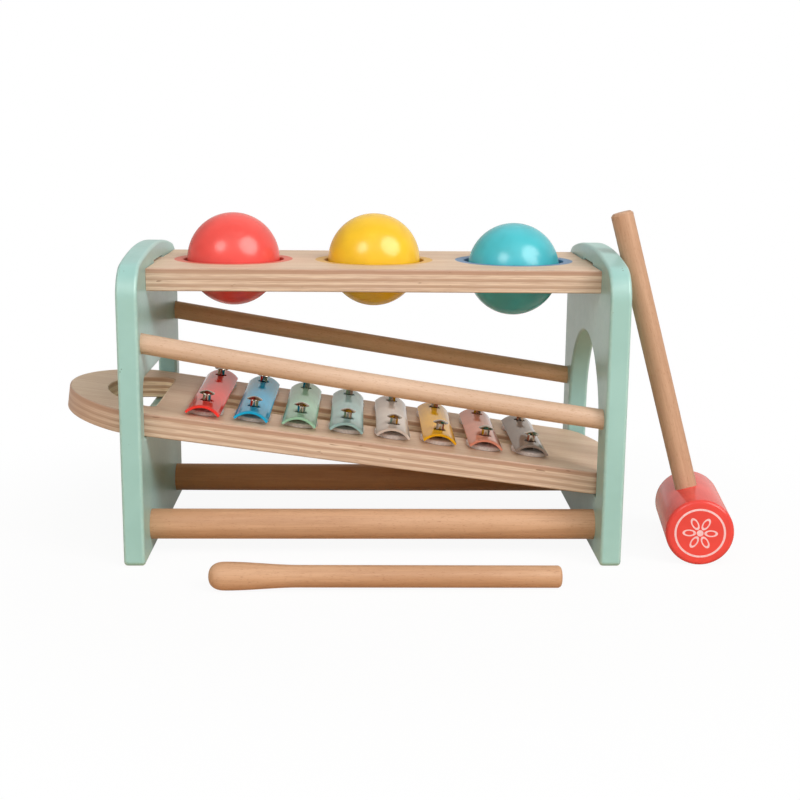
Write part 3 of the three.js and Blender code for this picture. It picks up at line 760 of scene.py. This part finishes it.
tail_u, tail_v, tail_turn = end_blend(tail_centre, tail_radius, tail_blend, 1)
grip_u, grip_v, grip_turn = end_blend(handle_centre, handle_radius, grip_blend, -1)
side_turn = RIGHT_ANGLE - math.atan(board_taper)
board_outline = both_sides(
    arc_points(tail_centre, 0, tail_radius, 0, tail_turn)
    + arc_points(tail_u, tail_v, tail_blend, tail_turn, side_turn)
    + arc_points(grip_u, grip_v, grip_blend, side_turn, grip_turn)
    + arc_points(handle_centre, 0, handle_radius, grip_turn, math.pi))
handle_rim, finger_room, finger_corner = 20.5 * MM, 30.6 * MM, 4 * MM
finger_radius = handle_radius - handle_rim
finger_u = handle_centre - finger_radius + finger_room - finger_corner
finger_v = math.sqrt((finger_radius - finger_corner) ** 2 - (finger_u - handle_centre) ** 2)
finger_turn = math.atan2(finger_v, finger_u - handle_centre)
finger_hole = both_sides(
    arc_points(finger_u, finger_v, finger_corner, 0, finger_turn)
    + arc_points(handle_centre, 0, finger_radius, finger_turn, math.pi))
bar_count, bar_pitch = 8, 24.8 * MM
bar_first = -2.5 * MM - (bar_count - 1) / 2 * bar_pitch
bar_last = bar_first + (bar_count - 1) * bar_pitch
bar_longest, bar_shortest, pin_ratio = 103 * MM, 74 * MM, 0.154
slot_wide, slot_narrow, slot_corner = 17.85 * MM, 10 * MM, 3 * MM
slot = both_sides(
    arc_points(bar_last - slot_corner, slot_narrow - slot_corner, slot_corner, 0, RIGHT_ANGLE)
    + arc_points(bar_first + slot_corner, slot_wide - slot_corner, slot_corner, RIGHT_ANGLE, math.pi))


def bar_length(i):
    """Length of a tone bar, counted from 0 at the longest."""
    return bar_longest + (bar_shortest - bar_longest) * i / (bar_count - 1)


pin_shank, pilot_depth = 2.1 * MM, 8 * MM
pilot_holes = []
for i in range(bar_count):
    for side in (-1, 1):
        u, v = bar_first + i * bar_pitch, side * (0.5 - pin_ratio) * bar_length(i)
        bore = [(u + pin_shank * math.cos(t), v + pin_shank * math.sin(t)) for t in full_turn(24)]
        pilot_holes.append((True, bore, (0, 0), pilot_depth))
board = sawn_board("birch_xylophone_board", sloping @ Matrix.Translation((0, 0, -board_thick)), board_thick,
                   board_round, board_outline, [finger_hole, slot], pilot_holes, steps=3)
board.data.materials.append(plywood_finish(
    "birch_board", Vector((bench_x, bench_y, board_level)), board_along, board_thick))
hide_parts("xylophone_board")
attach(board, "xylophone")


# Felt washers: pale grey rounds, one under each end of a tone bar, threaded on its pin. They keep the bar
# off the board so that it rings.
def join(maker, parts):
    """One geometry from several parts."""
    joined = maker.add("GeometryNodeJoinGeometry")
    for part in parts:
        maker.fill(joined, {0: part})
    return maker.values(joined.outputs)[0]


rows, given = new_maker("pin_row", {
    "Piece": "Object", "Finish": "Material", "First": "Float", "Pitch": "Float", "Longest": "Float",
    "Shortest": "Float", "Pin Ratio": "Float", "Lean": "Float", "Seat": "Vector", "Slope": "Float"})
row = rows.make("GeometryNodeMeshLine", {
    "Count": bar_count, "Start Location": rows.vector(X=given["First"]),
    "Offset": rows.vector(X=given["Pitch"])})
share = rows.make("GeometryNodeInputIndex") / (bar_count - 1)
length = share * (given["Shortest"] - given["Longest"]) + given["Longest"]
out = length * 0.5 - length * given["Pin Ratio"]
pin_spots = join(rows, [rows.make("GeometryNodeSetPosition", {
    "Geometry": row, "Offset": rows.vector(Y=out * side)}) for side in (-1.0, 1.0)])
piece = rows.make("GeometryNodeObjectInfo", {"Object": given["Piece"]}, "Geometry",
                  transform_space="ORIGINAL")
back = given["Lean"] * -1.0
lean = rows.make("FunctionNodeRandomValue", {
    0: rows.vector(X=back, Y=back, Z=-math.pi),
    1: rows.vector(X=given["Lean"], Y=given["Lean"], Z=math.pi), "Seed": 7}, data_type="FLOAT_VECTOR")
put = rows.make("GeometryNodeInstanceOnPoints", {
    "Points": pin_spots, "Instance": piece, "Rotation": lean})
finish_maker(rows, rows.make("GeometryNodeTransform", {
    "Geometry": put, "Translation": given["Seat"], "Rotation": rows.vector(Y=given["Slope"])}),
    given["Finish"])


def made_in_rows(name, pattern, material, lean):
    """Copies of a pattern piece at every pin, as one mesh; the pattern is removed."""
    copies = made_by_nodes(name, rows, {
        "Piece": pattern, "Finish": material, "First": bar_first, "Pitch": bar_pitch, "Longest": bar_longest,
        "Shortest": bar_shortest, "Pin Ratio": pin_ratio, "Lean": lean,
        "Seat": (bench_x, bench_y, board_level), "Slope": board_slope})
    bpy.data.objects.remove(pattern)
    return copies


felt, recipe = new_material("grey_felt")
wool = recipe.noise(recipe.spot(), 900, 4)
grey = recipe.mix(recipe.between(wool, 0.3, 0.7), swatch(204, 192, 188), swatch(222, 212, 208))
recipe.finish(grey, 0.95, wool, 0.1 * MM, {"Sheen Weight": 0.4})
washer_radius, washer_hole, washer_low, washer_high = 9.7 * MM, 2.3 * MM, 0.1 * MM, 2.4 * MM
washer_rim = [(0.5 * MM, 0), (0.1 * MM, 0.2 * MM), (0, 0.5 * MM)]
washer_line = (
    [(washer_hole, washer_low)]
    + [(washer_radius - inset, washer_low + rise) for inset, rise in washer_rim]
    + [(washer_radius - inset, washer_high - rise) for inset, rise in reversed(washer_rim)]
    + [(washer_hole, washer_high), (washer_hole, washer_low)])
washer = turned_piece("felt_washer", washer_line, Matrix.Identity(4), 48)
washers = made_in_rows("felt_washers", washer, felt, 0.0)
bar_names = ["1_red", "2_blue", "3_mint", "4_aqua", "5_cream", "6_yellow", "7_pink", "8_grey"]
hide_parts(*(f"felt_pad_{name}_{end}" for name in bar_names for end in ("front", "rear")))
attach(washers, "xylophone")


# Tone bars: strips of steel bent to a shallow arch, each cut to its note's length, drilled loosely for two
# pins and coated with gloss enamel in its own colour.
bend, given = new_maker("tone_bar_bending", {
    "Length": "Float", "Width": "Float", "Arch": "Float", "Foot": "Float", "Thickness": "Float",
    "Pin Ratio": "Float", "Hole Radius": "Float", "Finish": "Material"})
half = given["Width"] * 0.5
radius = (half * half + given["Arch"] * given["Arch"]) / (given["Arch"] * 2.0)
sweep = (half / radius).reckon("ARCSINE")
crown = given["Foot"] + given["Arch"]
strip = bend.make("GeometryNodeMeshGrid", {
    "Size X": 2.0, "Size Y": given["Length"], "Vertices X": 33, "Vertices Y": 45})
x, y, _ = bend.axes(bend.make("GeometryNodeInputPosition"))
swung = x * sweep
inside = radius - given["Thickness"]
rise = inside * swung.reckon("COSINE") + (crown - radius)
lower_face = bend.make("GeometryNodeSetPosition", {
    "Geometry": strip, "Position": bend.vector(X=inside * swung.reckon("SINE"), Y=y, Z=rise)})
raised = bend.make("GeometryNodeExtrudeMesh", {
    "Mesh": lower_face, "Offset Scale": given["Thickness"], "Individual": False}, mode="FACES")
under = bend.make("GeometryNodeFlipFaces", {"Mesh": lower_face})
solid = bend.make("GeometryNodeMergeByDistance", {
    "Geometry": join(bend, [raised, under]), "Distance": 1e-6})
drill = bend.make("GeometryNodeMeshCylinder", {
    "Vertices": 40, "Radius": given["Hole Radius"], "Depth": 12 * MM})
out = given["Length"] * 0.5 - given["Length"] * given["Pin Ratio"]
drills = join(bend, [bend.make("GeometryNodeTransform", {
    "Geometry": drill, "Translation": bend.vector(Y=out * side, Z=crown)}) for side in (-1.0, 1.0)])
drilled = bend.make("GeometryNodeMeshBoolean", {0: solid, 1: drills}, operation="DIFFERENCE")
finish_maker(bend, drilled, given["Finish"])

enamels = [(241, 62, 54), (30, 172, 222), (154, 203, 175), (161, 200, 199), (221, 208, 198), (249, 186, 24),
           (228, 150, 126), (152, 136, 126)]
bar_width, bar_metal, bar_foot, bar_arch = 18 * MM, 1.2 * MM, 2.6 * MM, 4.2 * MM
pin_clear = 3.3 * MM
bar_edge = {"width": 0.25 * MM, "segments": 2, "limit_method": "ANGLE", "angle_limit": math.radians(50)}
for i, (name, tint) in enumerate(zip(bar_names, enamels)):
    enamel, recipe = new_material("enamel_" + name)
    colour, rubbed, height = recipe.group(gloss, {"Colour": swatch(*tint), "Scuffs": 0.3})
    recipe.finish(colour, recipe.between(rubbed, 0.22, 0.28, 0.03, 0.1), height, 0.01 * MM, {"IOR": 1.2})
    bar = made_by_nodes("enamelled_bar_" + name, bend, {
        "Length": bar_length(i), "Width": bar_width, "Arch": bar_arch, "Foot": bar_foot,
        "Thickness": bar_metal, "Pin Ratio": pin_ratio, "Hole Radius": pin_clear, "Finish": enamel},
        [("BEVEL", bar_edge)])
    bar.data.shade_smooth()
    bar.data.set_sharp_from_angle(angle=math.radians(40))
    bar.data.transform(sloping @ Matrix.Translation((bar_first + i * bar_pitch, 0, 0)))
    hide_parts("tone_bar_" + name)
    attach(bar, "xylophone")


# Pins: bright plated nails with mushroom heads, driven through each bar and washer into the board. They hold
# the bars loosely by their heads.
pin_steel, recipe = new_material("plated_steel")
drawn = recipe.noise(recipe.spot(), (1500, 1500, 120))
# These warm grey tones are darker than bright plating: painted shade in the reflections, standing for the
# brown plank underside that the heads mirror.
recipe.finish(recipe.mix(drawn, swatch(172, 162, 150), swatch(192, 182, 170)),
              recipe.between(drawn, 0.3, 0.7, 0.06, 0.16), drawn, 0.01 * MM, {"Metallic": 1.0})
pin_head, pin_cap, pin_rim = 4.05 * MM, 1.5 * MM, 0.15 * MM
pin_under = bar_foot + bar_arch + 3.6 * MM
cap_radius, cap_steps = 0.985 * pin_head, 8
pin_line = [
    (0, -pilot_depth), (0.9 * MM, -pilot_depth), (pin_shank, -6 * MM), (pin_shank, pin_under - 0.5 * MM),
    (pin_shank + 0.4 * MM, pin_under - 0.05 * MM), (0.8 * pin_head, pin_under - 0.1 * MM),
    (0.95 * pin_head, pin_under - 0.2 * MM), (0.99 * pin_head, pin_under - 0.12 * MM), (pin_head, pin_under)]
for k in range(cap_steps + 1):
    inward = 1 - k / cap_steps
    crowned = (pin_cap - pin_rim) * (1 - inward ** 1.7)
    pin_line.append((cap_radius * inward, pin_under + pin_rim + crowned))
pin = turned_piece("pin", pin_line, Matrix.Identity(4), 32)
pins = made_in_rows("plated_pins", pin, pin_steel, math.radians(1.2))
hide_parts(*(f"bar_pin_{name}_{end}" for name in bar_names for end in ("front", "rear")))
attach(pins, "xylophone")


# Hammer: a turned head with gloss lacquer, a daisy printed on its striking faces, and a beech handle glued
# into a bore. It lies on the floor with its handle leaning on the right end panel.
hammer_low, hammer_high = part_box("hammer_head")
hammer_middle = (hammer_low + hammer_high) / 2
hammer_turn, hammer_lean = math.radians(-7), math.radians(15.5)
hammer_radius, hammer_half, rim_round = 17.4 * MM, 31 * MM, 2.2 * MM
head_along = Vector((-math.sin(hammer_turn), math.cos(hammer_turn), 0))
head_forward = 1 * MM
head_middle = Vector((hammer_middle.x, hammer_middle.y, hammer_radius)) - head_along * head_forward


def rounded_end(radius, height, rounding, steps):
    """The rounded rim of a turned piece, from its side to its end."""
    return [(radius - rounding + rounding * math.sin(t), height - rounding + rounding * math.cos(t))
            for t in reversed(quarter_turn(steps))]


rim = rounded_end(hammer_radius, hammer_half, rim_round, 7)
head_line = [(0, -hammer_half)] + [(r, -h) for r, h in reversed(rim)] + rim + [(0, hammer_half)]
head = turned_piece("lacquered_hammer_head", head_line, placed_along(head_middle, head_along), 96)

# Printed daisy: a ring, six outlined petals and a dot, in the y-z plane of the vector it is given.
daisy, given = new_group(
    "printed_daisy", {"Vector": "Vector", "Ring": "Float", "Line": "Float", "Petal": "Float"},
    {"Mask": "Float"})
_, y, z = daisy.axes(given["Vector"])
reach = (y * y + z * z).reckon("SQRT")
fold = (z.reckon("ARCTAN2", y) + math.pi).reckon("PINGPONG", math.pi / 6)
petal_reach = reach / given["Petal"]
along_petal = petal_reach * fold.reckon("COSINE") * 2.6 - 1.6
across_petal = petal_reach * fold.reckon("SINE") * 5.0
oval = along_petal * along_petal + across_petal * across_petal
petals = daisy.between(oval, 0.36, 0.46) * daisy.between(oval, 0.92, 1.04, 1, 0)
circle = daisy.between(abs(reach - given["Ring"]) / given["Line"], 0.42, 0.58, 1, 0)
dot = daisy.between(reach / given["Line"], 1.5, 1.7, 1, 0)
daisy.add("NodeGroupOutput", {"Mask": petals.reckon("MAXIMUM", circle.reckon("MAXIMUM", dot))})

hammer_red = lacquer_finish("lacquer_hammer", (240, 80, 73), 0.3, 0.3)
recipe = Recipe(hammer_red.node_tree)
shader = hammer_red.node_tree.nodes["Principled BSDF"]
local = own_frame(recipe, head_middle, head_along)
[printed] = recipe.group(daisy, {"Vector": local, "Ring": 12.5 * MM, "Line": 1.05 * MM, "Petal": 9 * MM})
on_face = recipe.between(abs(recipe.axes(local)[0]), hammer_half - 0.5 * MM, hammer_half - 0.2 * MM)
ink = recipe.between(recipe.noise(local, 900), 0.3, 0.5, 0.7, 0.95)
lacquered = Value(recipe, shader.inputs["Base Color"].links[0].from_socket)
inked = recipe.mix(printed * on_face * ink, lacquered, swatch(248, 214, 220))
recipe.fill(shader, {"Base Color": inked})
head.data.materials.append(hammer_red)
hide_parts("hammer_head")
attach(head, "hammer")

leaning = Vector((-math.sin(hammer_lean), 0, math.cos(hammer_lean)))
handle_along = Matrix.Rotation(hammer_turn, 3, "Z") @ leaning
grip_tall, grip_sunk, grip_radius, grip_chamfer = 167.3 * MM, 8 * MM, 5.8 * MM, 1.2 * MM
handle_middle = hammer_middle + handle_along * (grip_tall - grip_sunk) / 2
handle = turned_piece("beech_hammer_handle", rod_line(grip_radius, grip_tall + grip_sunk, grip_chamfer),
                      placed_along(handle_middle, handle_along))
handle.data.materials.append(beech_finish("beech_hammer_handle", handle_middle, handle_along,
                                          (212, 172, 143), (193, 152, 123)))
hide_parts("hammer_handle")
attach(handle, "hammer")


# Beater: a beech stick turned with a blunt bulb at its playing end, sanded and left bare. It lies on the
# floor in front of the bench.
beater_low, beater_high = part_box("beater")
beater_length, bulb, shaft = 172 * MM, 6.95 * MM, 5.45 * MM
bulb_at, shaft_at, tip_round, bluntness = 8.5 * MM, 44 * MM, 2 * MM, 0.8
beater_turn, droop = math.radians(1.2), math.asin((bulb - shaft) / (beater_length - bulb_at))
beater_along = Matrix.Rotation(beater_turn, 3, "Z") @ Vector((math.cos(droop), 0, -math.sin(droop)))
beater_middle = (beater_low + beater_high) / 2
beater_middle.z = (bulb + shaft) / 2
beater_line = [(bulb * math.sin(t) ** bluntness, bulb_at - bulb_at * math.cos(t) ** bluntness)
               for t in quarter_turn(12)]
taper_steps = 16
for k in range(1, taper_steps + 1):
    part = k / taper_steps
    slimmed = part * part * (3 - 2 * part)
    beater_line.append((bulb + (shaft - bulb) * slimmed, bulb_at + (shaft_at - bulb_at) * part))
beater_line += rounded_end(shaft, beater_length, tip_round, 6) + [(0, beater_length)]
beater = turned_piece("beech_beater", [(r, h - beater_length / 2) for r, h in beater_line],
                      placed_along(beater_middle, beater_along))
beater.data.materials.append(beech_finish("beech_beater", beater_middle + Vector((0.7, 0, 0)), beater_along))
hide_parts("beater")
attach(beater, "beater")


# Studio: a white floor that keeps a soft shadow and white all round. Two soft boxes in front make the
# highlights, and wide sails give the even light.
def rays_of(recipe):
    """Which rays arrive: the camera's own, those from a mirror and those through glass."""
    return [recipe.make("ShaderNodeLightPath", output=f"Is {kind} Ray")
            for kind in ("Camera", "Glossy", "Transmission")]


floor_half, floor_z = 6, -0.1 * MM
ways = ((-1, -1), (1, -1), (1, 1), (-1, 1))
floor_mesh = bpy.data.meshes.new("floor")
floor_mesh.from_pydata([(x * floor_half, y * floor_half, floor_z) for x, y in ways], [], [(0, 1, 2, 3)])
floor = placed("floor", floor_mesh)
white_floor = bpy.data.materials.new("white_floor")
white_floor.use_nodes = True
white_floor.cycles.emission_sampling = "NONE"
white_floor.node_tree.nodes.clear()
recipe = Recipe(white_floor.node_tree)
straight, mirrored_in, through = rays_of(recipe)
away = recipe.make("ShaderNodeVectorMath", {0: recipe.spot()}, "Value", operation="LENGTH")
mirrors = mirrored_in * recipe.between(away, 0.2, 0.45, 0.35, 0.85) + through
seen = straight.reckon("MAXIMUM", mirrors)
dull = recipe.make("ShaderNodeBsdfDiffuse", {"Color": (0.61, 0.42, 0.23, 1)})
paper = recipe.make("ShaderNodeBsdfDiffuse", {"Color": (0.9, 0.9, 0.9, 1)})
glow = recipe.make("ShaderNodeEmission", {"Color": (1, 1, 1, 1), "Strength": 1.0})
sweep_paper = recipe.make("ShaderNodeMixShader", {
    0: recipe.between(away, 0.16, 0.34, 0.93, 1.0), 1: paper, 2: glow})
recipe.add("ShaderNodeOutputMaterial", {
    "Surface": recipe.make("ShaderNodeMixShader", {0: seen, 1: dull, 2: sweep_paper})})
floor_mesh.materials.append(white_floor)

world = bpy.data.worlds.new("studio")
bpy.context.scene.world = world
world.use_nodes = True
world.node_tree.nodes.clear()
recipe = Recipe(world.node_tree)
straight, mirrored_in, through = rays_of(recipe)
seen = straight.reckon("MAXIMUM", mirrored_in.reckon("MAXIMUM", through))
air, backdrop, sheen, room = (
    recipe.make("ShaderNodeBackground", {"Color": (*colour, 1), "Strength": strength})
    for colour, strength in (((1.0, 0.92, 0.82), 0.18), ((1, 1, 1), 1.0), ((1.0, 0.95, 0.88), 0.85),
                             ((1.0, 0.97, 0.93), 0.12)))
x, y, _ = recipe.axes(recipe.make("ShaderNodeTexCoord", output="Generated"))
behind = recipe.between(y, 0.0, 0.35) * recipe.between(x, -0.8, 0.1, 0.3, 1.0)
reflected = recipe.make("ShaderNodeMixShader", {0: behind, 1: room, 2: sheen})
reflected = recipe.make("ShaderNodeMixShader", {0: mirrored_in, 1: backdrop, 2: reflected})
recipe.add("ShaderNodeOutputWorld", {
    "Surface": recipe.make("ShaderNodeMixShader", {0: seen, 1: air, 2: reflected})})

target = Vector((0, 0, 0.1))
for name, azimuth, elevation, distance, size, power, makes_highlight in (
    ("soft_box_right", 50, 36, 2.6, 2.1, 84.0, True),
    ("soft_box_left", -34, 34, 2.6, 1.1, 23.0, True),
    ("right_sail", 50, 36, 2.6, 1.2, 33.0, False),
    ("left_sail", -40, 30, 2.6, 1.8, 12.0, False),
    ("front_sail", 0, 18, 2.8, 3.2, 18.5, False),
    ("overhead_sail", 8, 52, 2.8, 2.6, 30.0, False),
    ("back_sail", 175, 28, 2.8, 2.4, 11.5, False),
):
    lamp = bpy.data.lights.new(name, "AREA")
    lamp.shape = "DISK"
    lamp.size = size
    lamp.energy = power
    lamp.color = (1.0, 0.985, 0.96)
    soft_box = placed(name, lamp)
    az, el = math.radians(azimuth), math.radians(elevation)
    toward = Vector((math.sin(az) * math.cos(el), -math.cos(az) * math.cos(el), math.sin(el)))
    soft_box.location = target + toward * distance
    soft_box.rotation_euler = toward.to_track_quat("Z", "Y").to_euler()
    soft_box.visible_glossy = makes_highlight
    soft_box.visible_diffuse = not makes_highlight

pitch, yaw, roll = math.radians(11.771), math.radians(1.579), math.radians(0.525)
ahead = Vector((math.sin(yaw) * math.cos(pitch), math.cos(yaw) * math.cos(pitch), -math.sin(pitch)))
level_right = Vector((math.cos(yaw), -math.sin(yaw), 0))
level_up = level_right.cross(ahead)
right = level_right * math.cos(roll) + level_up * math.sin(roll)
up = level_up * math.cos(roll) - level_right * math.sin(roll)
eye = Vector((bench_x - 5.113 * MM, bench_y - 718.705 * MM, 222.281 * MM))
focal_pixels, picture_pixels = 1328.728, 800
lens = bpy.data.cameras.new("camera")
lens.sensor_fit = "HORIZONTAL"
lens.sensor_width = 36
lens.lens = focal_pixels / picture_pixels * lens.sensor_width
lens.clip_start = 0.01
camera = placed("camera", lens)
camera.matrix_world = Matrix.Translation(eye) @ Matrix((right, up, -ahead)).transposed().to_4x4()
bpy.context.scene.camera = camera
bpy.context.scene.view_settings.view_transform = "Standard"
